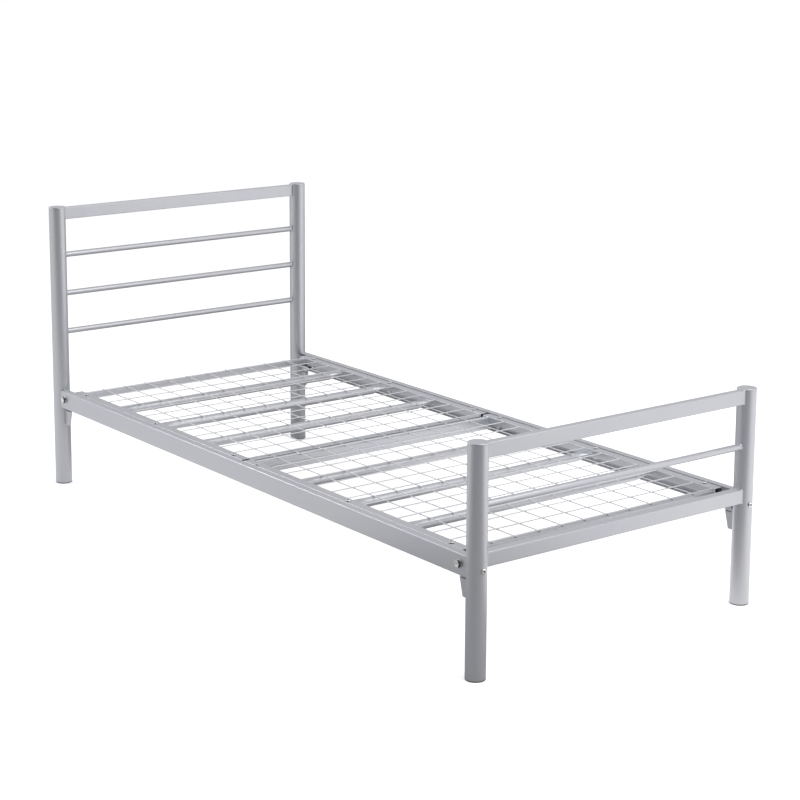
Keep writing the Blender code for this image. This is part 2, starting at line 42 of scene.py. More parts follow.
# camera
CAMERA_PLACE = (-3.3912, -4.5668, 1.8410)
CAMERA_TURN = (79.227, -0.1756, -36.6646)          # degrees
CAMERA_LENS = 91.88
CAMERA_SHIFT = (0.0314, -0.15)
CAMERA_SENSOR, CAMERA_FAR = 36.0, 500.0            # mm and m

# tubes
SOFT_EDGE = 0.0003           # rounding of sawn edges
ARC_STEPS = 5                # points on each rounded corner of a rectangular section
SIDE_STEP = 0.004            # longest step along the straight sides of a section
RAIL_CORNER = 0.0022
MEMBER_CORNER = 0.0018
CENTRE_CORNER = 0.0025
POST_SEGMENTS = 96
BAR_SEGMENTS = 48
# distance from the joint and outward flare of the section: a weld fillet under paint
FILLET = ((-0.0005, 0.0018), (0.0002, 0.0010), (0.0007, 0.0005), (0.0014, 0.00015), (0.003, 0.0))
FILLET_RIPPLE = 0.35
RIPPLE_SCALE = 420.0

# posts and glides
BEVEL_STEPS = 4
POST_WALL = 0.0015
POST_PLUG = 0.015            # height of the closed inside above the tube's foot
CAP_BEVEL = 0.0022
CAP_SEAM = 0.0050            # depth of the welded disc's seam below the top
SEAM_DEEP = 0.0005
GLIDE_RIM = 0.003
GLIDE_ROUND = 0.001

# side rails
BRACKET_Y = 0.9992           # distance of the brackets' post face from the middle
FLANGE = 0.0225
CHANNEL_WALL = 0.0025
CHANNEL_BEND = 0.003
LIP_ROUND = 0.0004
NOTCH_X, NOTCH_START = 0.4558, 0.957
LIP_STEPS = 8                # points along a flange, so that it can follow the round post
LUG_HALF, LUG_WALL, LUG_ROUND = 0.015, 0.003, 0.003
LUG_INNER_X = 0.4145
DECK_BOLTS = 6               # on each side

# brackets
ANGLE_WALL, ANGLE_FOLD = 0.003, 0.004
ANGLE_WEB_LEG, ANGLE_POST_LEG = 0.041, 0.0277
ANGLE_LOW, ANGLE_HIGH = 0.2525, 0.299
ANGLE_SOFT = 0.0004
FOLD_STEPS, TONGUE_STEPS = 6, 12
TONGUE_HALF, TONGUE_WALL = 0.005, 0.002
TONGUE_LOW, TONGUE_HIGH = 0.194, 0.262
TONGUE_REACH = (0.022, 0.0394)
TONGUE_NOSE = 0.0042         # outer radius of the tongue's folded edge
TONGUE_SLOT, SLOT_START, SLOT_CORNER = (0.2400, 0.2430), 0.008, 0.0005

# deck
MEMBER_WALL = 0.0013
SLAT_POINTS = 44
SLAT_FLAT_HALF, SLAT_FLAT_LENGTH, SLAT_NECK = 0.004, 0.012, 0.045
SLAT_LIFT = 0.005            # the pressed ends sit this much higher than the middle
NECK_STEPS = 12
CENTRE_HALF, CENTRE_WALL = 0.025, 0.002
TEE_SINK = 0.0005            # the plate is welded this far into the centre rail
WIRE_RADIUS = 0.0015
WIRE_SEGMENTS = 10
WIRES_ALONG, ALONG_PITCH = 10, 0.076
WIRES_ACROSS, ACROSS_PITCH, ACROSS_FIRST = 14, 0.0707, 0.0085
WIRE_LIFT = 0.0015           # height of the lower wires' axes above the lowest point of the mesh
WIRE_BED = 0.0024            # height between the two layers of wires, less than two radii: they are welded
WIRE_WANDER = 0.0005
WIRE_SHORT = 0.0015          # the wires along the bed stop this short of the panel's ends
NUGGET_SWELL, NUGGET_REACH = 1.22, 0.0024
BEAD_RADIUS, BEAD_STEP = 0.0013, 0.0016
BEAD_CLEAR = 0.0001          # a lug's bead stands this far off the web
BEAD_SEGMENTS, BEAD_SWELL, BEAD_WAVE = 8, 0.18, 2.4
TEE_HALF_WIDTH = 0.080
TEE_LOW, LUG_TOP = 0.2797, 0.2827

# fasteners
BOLT_SEGMENTS = 36
HEX_CHAMFER = math.tan(math.radians(28))
SOCKET = 0.0025              # apothem of the hexagon socket of the button heads
THREAD_PITCH = {"M8": 0.00125, "M10": 0.0015}
THREAD_DEEP = 0.0004
M8_SHANK, M8_NUT, M8_NUT_HIGH, M8_TAIL = 0.004, 0.0064, 0.0065, 0.001
NUT_CROWN = 1.02             # radius of a small nut's chamfer circle, in apothems
DECK_HEAD, POST_HEAD = (0.0067, 0.0040), (0.0070, 0.0040)      # radius and height of the button heads
HEAD_STEPS, HEAD_SIDE, SOCKET_RIM = 6, 0.30, 1.35
SOCKET_FLOOR, SOCKET_LOW, SOCKET_HIGH = 0.25, 0.35, 0.93       # shares of the head's height
SOCKET_DRILL = 0.3           # radius of the flat in the socket's floor, in apothems
# the rim of the head turns in from this far above its seat to this far below, and by this much
SEAT_LIFT, SEAT_SINK = 0.0004, 0.0002
SEAT_ROUND, SEAT_INSET = 0.0001, 0.0008
M10_WASHER, M10_THICK, M10_APOTHEM, M10_CROWN = 0.0102, 0.0019, 0.0085, 0.0082
M10_SHANK, M10_NUT_HIGH, M10_TAIL = 0.005, 0.006, 0.0015
DISH_DEEP, DISH_FLOOR, DISH_FOOT, DISH_RIM = 0.0004, 0.003, 0.0064, 0.0068     # hollow top of the head
WELD_GAP = 0.0003            # gap between the CAD's welded pieces

# surfaces
SHARP_ANGLE = 38
SILVER = (0.60, 0.605, 0.63)
# lighter colour of the edges: thinner paint and a painted highlight
SILVER_EDGE_WEAR_AND_HIGHLIGHT = (0.76, 0.765, 0.78)
WIRE_SILVER = (0.80, 0.80, 0.81)
ZINC = (0.86, 0.84, 0.77)
ZINC_COOL = (0.74, 0.76, 0.78)
# dark zinc: painted shade on the bolts' sockets, sides and undersides
ZINC_PAINTED_SHADE_TINT = (0.10, 0.10, 0.10)
PLASTIC = (0.13, 0.13, 0.135)
FLOOR = (0.93, 0.93, 0.93)
FLOOR_BOUNCE = (0.40, 0.40, 0.406)
FLOOR_RIGHT, FLOOR_LEFT = 0.78, 0.54       # emission of the floor's two sides, hidden from the camera
FLOOR_SIDES = (0.50, 0.95)                 # cosines between which those sides fade in
FLOOR_GLOW = 0.46                          # emission that the camera sees

# light: radiance round the room, and the directions of its parts
ROOM_MIDDLE = (1.05, 1.05, 1.05)
ROOM_HIGH = (0.78, 0.78, 0.79)
ROOM_RIGHT = (1.35, 1.35, 1.38)
ROOM_LEFT = (1.15, 1.18, 1.25)
ROOM_FAR = (0.62, 0.62, 0.64)
ROOM_DARK = (0.08, 0.08, 0.085)
UP = (0.0, 0.0, 1.0)
RIGHT_SIDE = (0.8071, -0.5905, 0.0)
LEFT_SIDE = (-0.8071, 0.5905, 0.0)
FAR_SIDE = (0.57, 0.78, 0.30)
CAMERA_SIDE = (-0.5905, -0.8071, 0.10)
# direction, the cosines between which a part of the room fades in, and its radiance; later ones on top
ROOM_PARTS = (
    (LEFT_SIDE, 0.20, 0.85, ROOM_LEFT), (RIGHT_SIDE, 0.20, 0.85, ROOM_RIGHT),
    (UP, 0.15, 0.50, ROOM_HIGH), (FAR_SIDE, 0.35, 0.85, ROOM_FAR), (CAMERA_SIDE, 0.30, 0.80, ROOM_DARK),
)

# name, place, aim, size in metres and power in watts
SOFTBOXES = (
    ("overhead", (0.4, -2.8, 3.6), (0.0, -0.2, 0.4), (3.6, 3.6), 85.0),
    ("back", (-1.77, 3.9, 3.15), (-0.4, 0.0, 0.3), (1.4, 0.8), 30.0),
)
FLOOR_REACH, FLOOR_RINGS, FLOOR_SPOKES = 150.0, 24, 48

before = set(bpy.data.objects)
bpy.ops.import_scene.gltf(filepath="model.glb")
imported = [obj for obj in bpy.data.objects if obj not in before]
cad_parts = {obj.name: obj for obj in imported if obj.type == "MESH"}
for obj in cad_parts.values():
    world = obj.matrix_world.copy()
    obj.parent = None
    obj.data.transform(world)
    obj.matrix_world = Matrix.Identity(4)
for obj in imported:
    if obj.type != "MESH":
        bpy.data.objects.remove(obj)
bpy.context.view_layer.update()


# ---------------------------------------------------------------- materials
def add_node(tree, kind, settings=None, **inputs):
    """Adds a shader node. Inputs are sockets to link or plain values, with _ for a space."""
    made = tree.nodes.new(kind)
    for key, value in (settings or {}).items():
        setattr(made, key, value)
    for key, value in inputs.items():
        feed(tree, made.inputs[key.replace("_", " ")], value)
    return made


def feed(tree, socket, value):
    if isinstance(value, bpy.types.NodeSocket):
        tree.links.new(value, socket)
    else:
        socket.default_value = value


def mix_colour(tree, share, first, second, blend="MIX"):
    made = tree.nodes.new("ShaderNodeMix")
    made.data_type = "RGBA"
    made.blend_type = blend
    # the colour sockets of a Mix node share their names with its other types, so they go by number
    for socket, value in ((made.inputs[0], share), (made.inputs[6], first), (made.inputs[7], second)):
        feed(tree, socket, value)
    return made.outputs[2]


def rgba(colour):
    return (*colour, 1.0)


def places(tree):
    """Coordinates in metres, the same for every piece because each object sits at the origin."""
    return tree.nodes.new("ShaderNodeTexCoord").outputs["Object"]


def noise_value(tree, scale, detail=2.0, roughness=0.5):
    made = add_node(tree, "ShaderNodeTexNoise", Vector=places(tree), Scale=scale, Detail=detail,
                    Roughness=roughness)
    return made.outputs["Fac"]


def remap(tree, value, low, high, to_low, to_high):
    names = {"From_Min": low, "From_Max": high, "To_Min": to_low, "To_Max": to_high}
    return add_node(tree, "ShaderNodeMapRange", Value=value, **names).outputs["Result"]


def toward(tree, spot, direction, low, high):
    """Smooth share, from 0 to 1, of a spot that lies towards a direction from the middle."""
    unit = add_node(tree, "ShaderNodeVectorMath", {"operation": "NORMALIZE"})
    tree.links.new(spot, unit.inputs[0])
    cosine = add_node(tree, "ShaderNodeVectorMath", {"operation": "DOT_PRODUCT"})
    tree.links.new(unit.outputs["Vector"], cosine.inputs[0])
    cosine.inputs[1].default_value = Vector(direction).normalized()
    fade = add_node(tree, "ShaderNodeMapRange", {"interpolation_type": "SMOOTHSTEP"},
                    Value=cosine.outputs["Value"], From_Min=low, From_Max=high)
    return fade.outputs["Result"]


def edge_share(tree, radius):
    """1 on sharp edges and 0 on flat faces, from how much a rounded normal turns away."""
    bevel = add_node(tree, "ShaderNodeBevel", {"samples": 4}, Radius=radius)
    geometry = tree.nodes.new("ShaderNodeNewGeometry")
    facing = tree.nodes.new("ShaderNodeVectorMath")
    facing.operation = "DOT_PRODUCT"
    tree.links.new(bevel.outputs["Normal"], facing.inputs[0])
    tree.links.new(geometry.outputs["Normal"], facing.inputs[1])
    return remap(tree, facing.outputs["Value"], 0.80, 0.99, 1.0, 0.0)


def bumps(tree, layers):
    """Stack of bump nodes, from (height socket, strength, depth in metres)."""
    normal = None
    for height, strength, distance in layers:
        made = add_node(tree, "ShaderNodeBump", Height=height, Strength=strength, Distance=distance)
        if normal is not None:
            tree.links.new(normal, made.inputs["Normal"])
        normal = made.outputs["Normal"]
    return normal


def new_material(name, **constants):
    material = bpy.data.materials.new(name)
    material.use_nodes = True
    shader = material.node_tree.nodes["Principled BSDF"]
    for key, value in constants.items():
        shader.inputs[key.replace("_", " ")].default_value = value
    return material, material.node_tree, shader


def silver_paint(name, colour, flake_scale, metallic, gloss):
    """Satin silver powder coat: metal flakes, orange peel, slow tone changes, and edges lighter, partly as
    thinner paint and partly as a painted highlight.
    """
    material, tree, shader = new_material(name, Metallic=metallic, Coat_Weight=0.12, Coat_Roughness=0.30)
    flakes = add_node(tree, "ShaderNodeTexVoronoi", Vector=places(tree), Scale=flake_scale)
    flake = remap(tree, flakes.outputs["Distance"], 0.0, 0.9, 0.0, 1.0)
    dark = rgba([c * 0.94 for c in colour])
    light = rgba([min(c * 1.05, 1.0) for c in colour])
    speckled = mix_colour(tree, flake, light, dark)
    slow = remap(tree, noise_value(tree, 5.0, 3.0), 0.3, 0.7, 0.0, 1.0)
    cool = rgba((0.965, 0.98, 1.0))
    warm = rgba((1.0, 0.995, 0.985))
    toned = mix_colour(tree, 1.0, speckled, mix_colour(tree, slow, cool, warm), "MULTIPLY")
    # lighter edges: partly worn-thin paint, partly a painted highlight
    edges = edge_share(tree, 0.0012)
    broken = remap(tree, noise_value(tree, 90.0, 3.0), 0.35, 0.65, 0.15, 0.55)
    edge_wear_and_highlight = add_node(tree, "ShaderNodeMath", {"operation": "MULTIPLY"})
    tree.links.new(edges, edge_wear_and_highlight.inputs[0])
    tree.links.new(broken, edge_wear_and_highlight.inputs[1])
    final = mix_colour(tree, edge_wear_and_highlight.outputs[0], toned, rgba(SILVER_EDGE_WEAR_AND_HIGHLIGHT))
    tree.links.new(final, shader.inputs["Base Color"])
    rough = remap(tree, noise_value(tree, 28.0, 4.0), 0.3, 0.7, *gloss)
    tree.links.new(rough, shader.inputs["Roughness"])
    peel = noise_value(tree, 240.0, 2.0)
    grain = noise_value(tree, 1400.0, 1.0)
    tree.links.new(bumps(tree, ((peel, 0.35, 0.00012), (grain, 0.30, 0.00003))), shader.inputs["Normal"])
    return material


def zinc_plate(name, colours, metallic, rough_low, rough_high):
    """Bright plated steel: two tints in soft patches, fine drawn lines and uneven gloss."""
    material, tree, shader = new_material(name, Metallic=metallic)
    patch = remap(tree, noise_value(tree, 160.0, 3.0), 0.35, 0.65, 0.0, 1.0)
    tint = mix_colour(tree, patch, rgba(colours[0]), rgba(colours[1]))
    tree.links.new(tint, shader.inputs["Base Color"])
    rough = remap(tree, noise_value(tree, 500.0, 2.0), 0.3, 0.7, rough_low, rough_high)
    tree.links.new(rough, shader.inputs["Roughness"])
    scratch = add_node(tree, "ShaderNodeTexWave", {"bands_direction": "DIAGONAL"}, Vector=places(tree),
                       Scale=900.0, Distortion=9.0, Detail=2.0)
    pits = noise_value(tree, 1100.0, 2.0)
    layers = ((scratch.outputs["Fac"], 0.12, 0.00002), (pits, 0.25, 0.00003))
    tree.links.new(bumps(tree, layers), shader.inputs["Normal"])
    return material


def moulded_plastic(name):
    """Dark plastic with a fine moulded grain and scuffs."""
    material, tree, shader = new_material(name)
    scuffs = remap(tree, noise_value(tree, 120.0, 4.0), 0.45, 0.75, 0.0, 1.0)
    tint = mix_colour(tree, scuffs, rgba(PLASTIC), rgba([c * 1.6 for c in PLASTIC]))
    tree.links.new(tint, shader.inputs["Base Color"])
    rough = remap(tree, scuffs, 0.0, 1.0, 0.48, 0.66)
    tree.links.new(rough, shader.inputs["Roughness"])
    grain = noise_value(tree, 900.0, 2.0)
    tree.links.new(bumps(tree, ((grain, 0.5, 0.00005),)), shader.inputs["Normal"])
    return material


def floor_paint(name):
    """Pale studio floor with a barely uneven tone, seen by the camera with an even glow.

    All other rays meet a darker floor whose right and left sides shine, and these light the frame."""
    material, tree, shader = new_material(name, Emission_Color=rgba(FLOOR))
    tone = remap(tree, noise_value(tree, 1.2, 2.0), 0.3, 0.7, 0.0, 1.0)
    pale = mix_colour(tree, tone, rgba(FLOOR), rgba([c * 0.99 for c in FLOOR]))
    seen = tree.nodes.new("ShaderNodeLightPath").outputs["Is Camera Ray"]
    tint = mix_colour(tree, seen, rgba(FLOOR_BOUNCE), pale)
    tree.links.new(tint, shader.inputs["Base Color"])
    position = tree.nodes.new("ShaderNodeNewGeometry").outputs["Position"]
    right = remap(tree, toward(tree, position, RIGHT_SIDE, *FLOOR_SIDES), 0.0, 1.0, 0.0, FLOOR_RIGHT)
    left = remap(tree, toward(tree, position, LEFT_SIDE, *FLOOR_SIDES), 0.0, 1.0, 0.0, FLOOR_LEFT)
    sides = add_node(tree, "ShaderNodeMath", {"operation": "MAXIMUM"})
    tree.links.new(right, sides.inputs[0])
    tree.links.new(left, sides.inputs[1])
    glow = add_node(tree, "ShaderNodeMix", Factor=seen)
    tree.links.new(sides.outputs[0], glow.inputs["A"])
    glow.inputs["B"].default_value = FLOOR_GLOW
    tree.links.new(glow.outputs[0], shader.inputs["Emission Strength"])
    rough = remap(tree, tone, 0.0, 1.0, 0.75, 0.85)
    tree.links.new(rough, shader.inputs["Roughness"])
    return material


PAINT = silver_paint("silver_paint", SILVER, 1500.0, 0.68, (0.28, 0.34))
WIRE_PAINT = silver_paint("wire_paint", WIRE_SILVER, 1900.0, 0.30, (0.44, 0.50))
BRIGHT = zinc_plate("zinc", (ZINC, ZINC_COOL), 1.0, 0.20, 0.32)
# a dark copy of the zinc: painted shade for the bolts' sockets and sides
ZINC_PAINTED_SHADE = zinc_plate("zinc_painted_shade", (ZINC_PAINTED_SHADE_TINT, [c * 1.6 for c in ZINC_PAINTED_SHADE_TINT]), 0.8, 0.40, 0.55)
GLIDE = moulded_plastic("glide_plastic")


# ---------------------------------------------------------------- mesh tools
def skin(bm, rings, loop=False, faces_of=None):
    """Joins rings of points into a closed skin. Without loop, each end is closed by a fan.

    faces_of gives the material number of the faces between each ring and the next."""
    verts = [[bm.verts.new(point) for point in ring] for ring in rings]
    count = len(verts[0])
    pairs = list(zip(verts, verts[1:]))
    if loop:
        pairs.append((verts[-1], verts[0]))
    for index, (lower, upper) in enumerate(pairs):
        for i in range(count):
            j = (i + 1) % count
            face = bm.faces.new((lower[i], lower[j], upper[j], upper[i]))
            if faces_of:
                face.material_index = faces_of[index]
    if loop:
        return
    for ring, number in ((verts[0], 0), (verts[-1], -1)):
        middle = sum((vert.co for vert in ring), Vector()) / count
        tip = bm.verts.new(middle)
        for i in range(count):
            face = bm.faces.new((ring[i], ring[(i + 1) % count], tip))
            if faces_of:
                face.material_index = faces_of[number]


def plain_object(name, bm):
    """Turns a bmesh into an object, with doubled points joined and every face turned outwards."""
    bmesh.ops.remove_doubles(bm, verts=bm.verts, dist=1e-6)
    bmesh.ops.recalc_face_normals(bm, faces=bm.faces)
    mesh = bpy.data.meshes.new(name)
    bm.to_mesh(mesh)
    bm.free()
    thing = bpy.data.objects.new(name, mesh)
    bpy.context.scene.collection.objects.link(thing)
    return thing


def to_piece(bm, materials, node, weighted=True):
    """Turns a bmesh into a piece that rides on the bed frame and stands for its CAD node."""
    thing = plain_object(f"{node}_visual", bm)
    for material in materials:
        thing.data.materials.append(material)
    finish_piece(thing, node, weighted)


def finish_piece(thing, node, weighted=True):
    """Smooths a piece up to its sharp edges and hands it to the frame in place of the CAD node."""
    thing.data.shade_smooth()
    thing.data.set_sharp_from_angle(angle=math.radians(SHARP_ANGLE))
    if weighted:
        normals = thing.modifiers.new("normals", "WEIGHTED_NORMAL")
        normals.keep_sharp = True
    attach(thing, BODY)
    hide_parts(node)


def circle(radius, segments):
    steps = (2 * math.pi * i / segments for i in range(segments))
    return [(radius * math.cos(a), radius * math.sin(a)) for a in steps]


def split_sides(points, step):
    """Adds points on the long sides of a closed outline."""
    if step is None:
        return points
    result = []
    for (a, b), (c, d) in zip(points, points[1:] + points[:1]):
        parts = max(1, math.ceil(math.hypot(c - a, d - b) / step))
        result += [(a + (c - a) * k / parts, b + (d - b) * k / parts) for k in range(parts)]
    return result


def rounded_rectangle(low, high, radius, step=SIDE_STEP):
    """Outline of a rectangle with round corners, counter-clockwise."""
    inside = (
        (high[0] - radius, high[1] - radius), (low[0] + radius, high[1] - radius),
        (low[0] + radius, low[1] + radius), (high[0] - radius, low[1] + radius),
    )
    points = []
    for quarter, (x, y) in enumerate(inside):
        for k in range(ARC_STEPS + 1):
            angle = math.pi / 2 * (quarter + k / ARC_STEPS)
            points.append((x + radius * math.cos(angle), y + radius * math.sin(angle)))
    return split_sides(points, step)


def grown(points, amount, seed=None):
    """Moves a counter-clockwise outline outwards. With a seed it does so unevenly, as a weld does."""
    result = []
    count = len(points)
    for i, (a, b) in enumerate(points):
        before, after = points[i - 1], points[(i + 1) % count]
        tangent = Vector((after[0] - before[0], after[1] - before[1])).normalized()
        reach = amount
        if seed is not None:
            ripple = noise.noise(Vector((a * RIPPLE_SCALE, b * RIPPLE_SCALE, seed)))
            reach *= 1 + FILLET_RIPPLE * ripple
        result.append((a + tangent.y * reach, b - tangent.x * reach))
    return result


def place(axis, distance, point):
    """Point at a distance along an axis; the other two coordinates keep their X, Y, Z order."""
    coordinates = list(point)
    coordinates.insert("XYZ".index(axis), distance)
    return tuple(coordinates)


def tube(bm, axis, outer, inner, start, stop):
    """Open tube between two distances, with softly rounded end faces."""
    rings = []
    for section, shrink, ends in ((outer, 1, (start, stop)), (inner, -1, (stop, start))):
        sign = 1 if ends[1] > ends[0] else -1
        smaller = grown(section, -SOFT_EDGE * shrink, 0.0)
        stations = (
            (smaller, ends[0]), (section, ends[0] + sign * SOFT_EDGE),
            (section, ends[1] - sign * SOFT_EDGE), (smaller, ends[1]),
        )
        rings += [[place(axis, distance, point) for point in ring] for ring, distance in stations]
    skin(bm, rings, loop=True)


def block(bm, low, high, radius):
    """Plate with round vertical corners and softened top and bottom edges."""
    soft = SOFT_EDGE
    outline = rounded_rectangle(low[:2], high[:2], radius, None)
    rings = []
    for inset, z in ((soft, low[2]), (0, low[2] + soft), (0, high[2] - soft), (soft, high[2])):
        rings.append([(x, y, z) for x, y in grown(outline, -inset)])
    skin(bm, rings)


def bead(bm, start, stop, across):
    """Weld bead between two points: a half-round ridge that swells and thins a little."""
    start, stop, across = Vector(start), Vector(stop), Vector(across).normalized()
    length = (stop - start).length
    direction = (stop - start).normalized()
    up = direction.cross(across)
    steps = int(length / BEAD_STEP)
    rings = []
    for k in range(steps + 1):
        share = k / steps
        taper = min(1.0, 6 * min(share, 1 - share) + 0.25)
        swell = BEAD_RADIUS * taper * (1 + BEAD_SWELL * math.sin(k * BEAD_WAVE))
        centre = start + direction * length * share
        rings.append([centre + across * a + up * b for a, b in circle(swell, BEAD_SEGMENTS)])
    skin(bm, rings)


def carve(thing, others, operation):
    """Union or difference with other objects, which are then removed."""
    for other in others:
        step = thing.modifiers.new(operation.lower(), "BOOLEAN")
        step.operation = operation
        step.solver = "EXACT"
        step.object = other
    graph = bpy.context.evaluated_depsgraph_get()
    result = bpy.data.meshes.new_from_object(thing.evaluated_get(graph))
    thing.modifiers.clear()
    thing.data = result
    for other in others:
        bpy.data.objects.remove(other, do_unlink=True)


# ---------------------------------------------------------------- headboard and footboard
def post_facts(end_name):
    """Distance of the post axes from the middle, in X and in Y with its sign, and the radius."""
    low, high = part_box(f"{end_name}_post_right")
    centre = (low + high) / 2
    return centre.x, centre.y, (high.x - low.x) / 2


def lathe(bm, profile, centre):
    """Solid of revolution about a vertical axis, from (radius, z) pairs."""
    skin(bm, [[(centre.x + a, centre.y + b, z) for a, b in circle(radius, POST_SEGMENTS)]
              for radius, z in profile])


def make_post(node):
    """Round tube with its welded top disc: a bevelled edge and a fine seam below it."""
    low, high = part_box(node)
    centre = (low + high) / 2
    radius = (high.x - low.x) / 2
    soft = SOFT_EDGE
    bevel = []
    for k in range(BEVEL_STEPS + 1):
        angle = math.pi / 2 * k / BEVEL_STEPS
        inset, drop = CAP_BEVEL * (1 - math.cos(angle)), CAP_BEVEL * (1 - math.sin(angle))
        bevel.append((radius - inset, high.z - drop))
    seam = high.z - CAP_SEAM
    profile = [
        (radius - POST_WALL, low.z + POST_PLUG), (radius - POST_WALL, low.z), (radius - soft, low.z),
        (radius, low.z + soft), (radius, seam - soft), (radius - SEAM_DEEP, seam),
        (radius - SEAM_DEEP, seam + soft), (radius, seam + 2 * soft), *bevel,
    ]
    bm = bmesh.new()
    lathe(bm, profile, centre)
    to_piece(bm, [PAINT], node)


def make_glide(node):
    """Moulded foot under a post."""
    low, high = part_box(node)
    centre = (low + high) / 2
    radius = (high.x - low.x) / 2
    spigot = radius - POST_WALL - WELD_GAP
    profile = [
        (radius - 2 * GLIDE_ROUND, low.z), (radius - 0.7 * GLIDE_ROUND, low.z + 0.3 * GLIDE_ROUND),
        (radius - 0.2 * GLIDE_ROUND, low.z + GLIDE_ROUND), (radius, low.z + 1.6 * GLIDE_ROUND),
        (radius, GLIDE_RIM - 0.3 * GLIDE_ROUND), (radius - 0.3 * GLIDE_ROUND, GLIDE_RIM),
        (spigot, GLIDE_RIM), (spigot, high.z),
    ]
    bm = bmesh.new()
    lathe(bm, profile, centre)
    to_piece(bm, [GLIDE], node)


def make_cross_member(node, end_name, section):
    """Rail or bar between the posts. Its ends follow the round posts and flare into weld fillets."""
    post_x, post_y, radius = post_facts(end_name)
    rings = []
    for side in SIDES.values():
        stations = FILLET if side < 0 else FILLET[::-1]
        for clear, flare in stations:
            ring = []
            for y, z in grown(section, flare, side):
                reach = math.sqrt(radius ** 2 - (y - post_y) ** 2)
                ring.append((side * (post_x - reach - clear), y, z))
            rings.append(ring)
    bm = bmesh.new()
    skin(bm, rings)
    to_piece(bm, [PAINT], node)


def make_rail(node, end_name):
    """Rectangular rail between the posts."""
    low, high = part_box(node)
    section = rounded_rectangle((low.y, low.z), (high.y, high.z), RAIL_CORNER)
    make_cross_member(node, end_name, section)


def make_bar(node, end_name):
    """Round bar between the posts."""
    low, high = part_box(node)
    centre = (low + high) / 2
    radius = (high.z - low.z) / 2
    section = [(centre.y + a, centre.z + b) for a, b in circle(radius, BAR_SEGMENTS)]
    make_cross_member(node, end_name, section)


# ---------------------------------------------------------------- side rails
def arc(centre, radius, start, stop, steps=4):
    """Points of an arc, angles in degrees."""
    points = []
    for k in range(steps + 1):
        angle = math.radians(start + (stop - start) * k / steps)
        points.append((centre[0] + radius * math.cos(angle), centre[1] + radius * math.sin(angle)))
    return points


def channel_section(outer_x, low, high, notched):
    """C open to the left, in X and Z, counter-clockwise. A notched one has its lower lip cut back."""
    lip = outer_x - FLANGE
    low_lip = NOTCH_X if notched else lip
    bend, wall, soft = CHANNEL_BEND, CHANNEL_WALL, LIP_ROUND
    inner = bend - wall
    low_soft = 0.0 if notched else soft
    top_xs = [outer_x - bend + (lip + soft - outer_x + bend) * k / LIP_STEPS for k in range(1, LIP_STEPS)]
    return [
        (low_lip + low_soft, low), (NOTCH_X, low),
        *arc((outer_x - bend, low + bend), bend, -90, 0),
        *arc((outer_x - bend, high - bend), bend, 0, 90),
        *((x, high) for x in top_xs),
        (lip + soft, high), (lip, high - soft), (lip, high - wall + soft), (lip + soft, high - wall),
        *((x, high - wall) for x in top_xs[::-1]),
        *arc((outer_x - bend, high - bend), inner, 90, 0),
        *arc((outer_x - bend, low + bend), inner, 0, -90),
        (NOTCH_X, low + wall), (low_lip + low_soft, low + wall),
        (low_lip, low + wall - soft), (low_lip, low + soft),
    ]


def make_side_rail(side_name):
    """C-section rail with rounded folds, cut to the posts and for the brackets, with welded lugs."""
    side = SIDES[side_name]
    node = f"side_rail_{side_name}"
    low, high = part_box(node)
    outer_x = max(abs(low.x), abs(high.x))
    post_x, post_y, post_radius = post_facts("head")
    bm = bmesh.new()
    rings = []
    whole, notched = (channel_section(outer_x, low.z, high.z, cut) for cut in (False, True))
    tip = [post_y - math.sqrt((post_radius + WELD_GAP) ** 2 - (x - post_x) ** 2) for x, z in notched]
    rings.append([(side * x, -y, z) for (x, z), y in zip(notched, tip)])
    for y, section in ((-NOTCH_START, notched), (-NOTCH_START, whole),
                       (NOTCH_START, whole), (NOTCH_START, notched)):
        rings.append([(side * x, y, z) for x, z in section])
    rings.append([(side * x, y, z) for (x, z), y in zip(notched, tip)])
    skin_flat_ends(bm, rings)
    weld_x = outer_x - CHANNEL_WALL - BEAD_CLEAR
    for index in range(1, DECK_BOLTS + 1):
        bolt_low, bolt_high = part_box(f"deck_bolt_{side_name}_{index}")
        y = (bolt_low.y + bolt_high.y) / 2
        top = LUG_TOP if abs(y) > TEE_HALF_WIDTH else TEE_LOW - WELD_GAP
        xs = sorted((side * LUG_INNER_X, side * (outer_x - CHANNEL_WALL / 2)))
        block(bm, (xs[0], y - LUG_HALF, top - LUG_WALL), (xs[1], y + LUG_HALF, top), LUG_ROUND)
        for z in (top, top - LUG_WALL):
            ends = [(side * weld_x, y + half, z) for half in (-LUG_HALF, LUG_HALF)]
            bead(bm, *ends, (1, 0, 0))
    to_piece(bm, [PAINT], node)


def skin_flat_ends(bm, rings):
    """Skin whose two ends are flat faces, for sections that aren't round."""
    verts = [[bm.verts.new(point) for point in ring] for ring in rings]
    count = len(verts[0])
    for lower, upper in zip(verts, verts[1:]):
        for i in range(count):
            j = (i + 1) % count
            bm.faces.new((lower[i], lower[j], upper[j], upper[i]))
    bm.faces.new(verts[0][::-1])
    bm.faces.new(verts[-1])


# ---------------------------------------------------------------- brackets
def bracket_angle(side, end, corner_x, corner_y):
    """Folded angle behind the rail's web and against the post."""
    wall, fold = ANGLE_WALL, ANGLE_FOLD
    outline = [
        *arc((fold, fold), fold, 180, 270, FOLD_STEPS),
        (ANGLE_POST_LEG, 0), (ANGLE_POST_LEG, wall),
        *arc((fold, fold), fold - wall, 270, 180, FOLD_STEPS),
        (wall, ANGLE_WEB_LEG), (0, ANGLE_WEB_LEG),
    ]
    middle = (ANGLE_LOW + ANGLE_HIGH) / 2
    rings = []
    for z in (ANGLE_LOW, middle, ANGLE_HIGH):
        rings.append([(corner_x - side * x, corner_y - end * y, z) for x, y in outline])
    bm = bmesh.new()
    skin_flat_ends(bm, rings)
    thing = plain_object("angle", bm)
    bevel = thing.modifiers.new("bevel", "BEVEL")
    bevel.width = ANGLE_SOFT
    bevel.segments = 2
    bevel.angle_limit = math.radians(SHARP_ANGLE)
    return thing


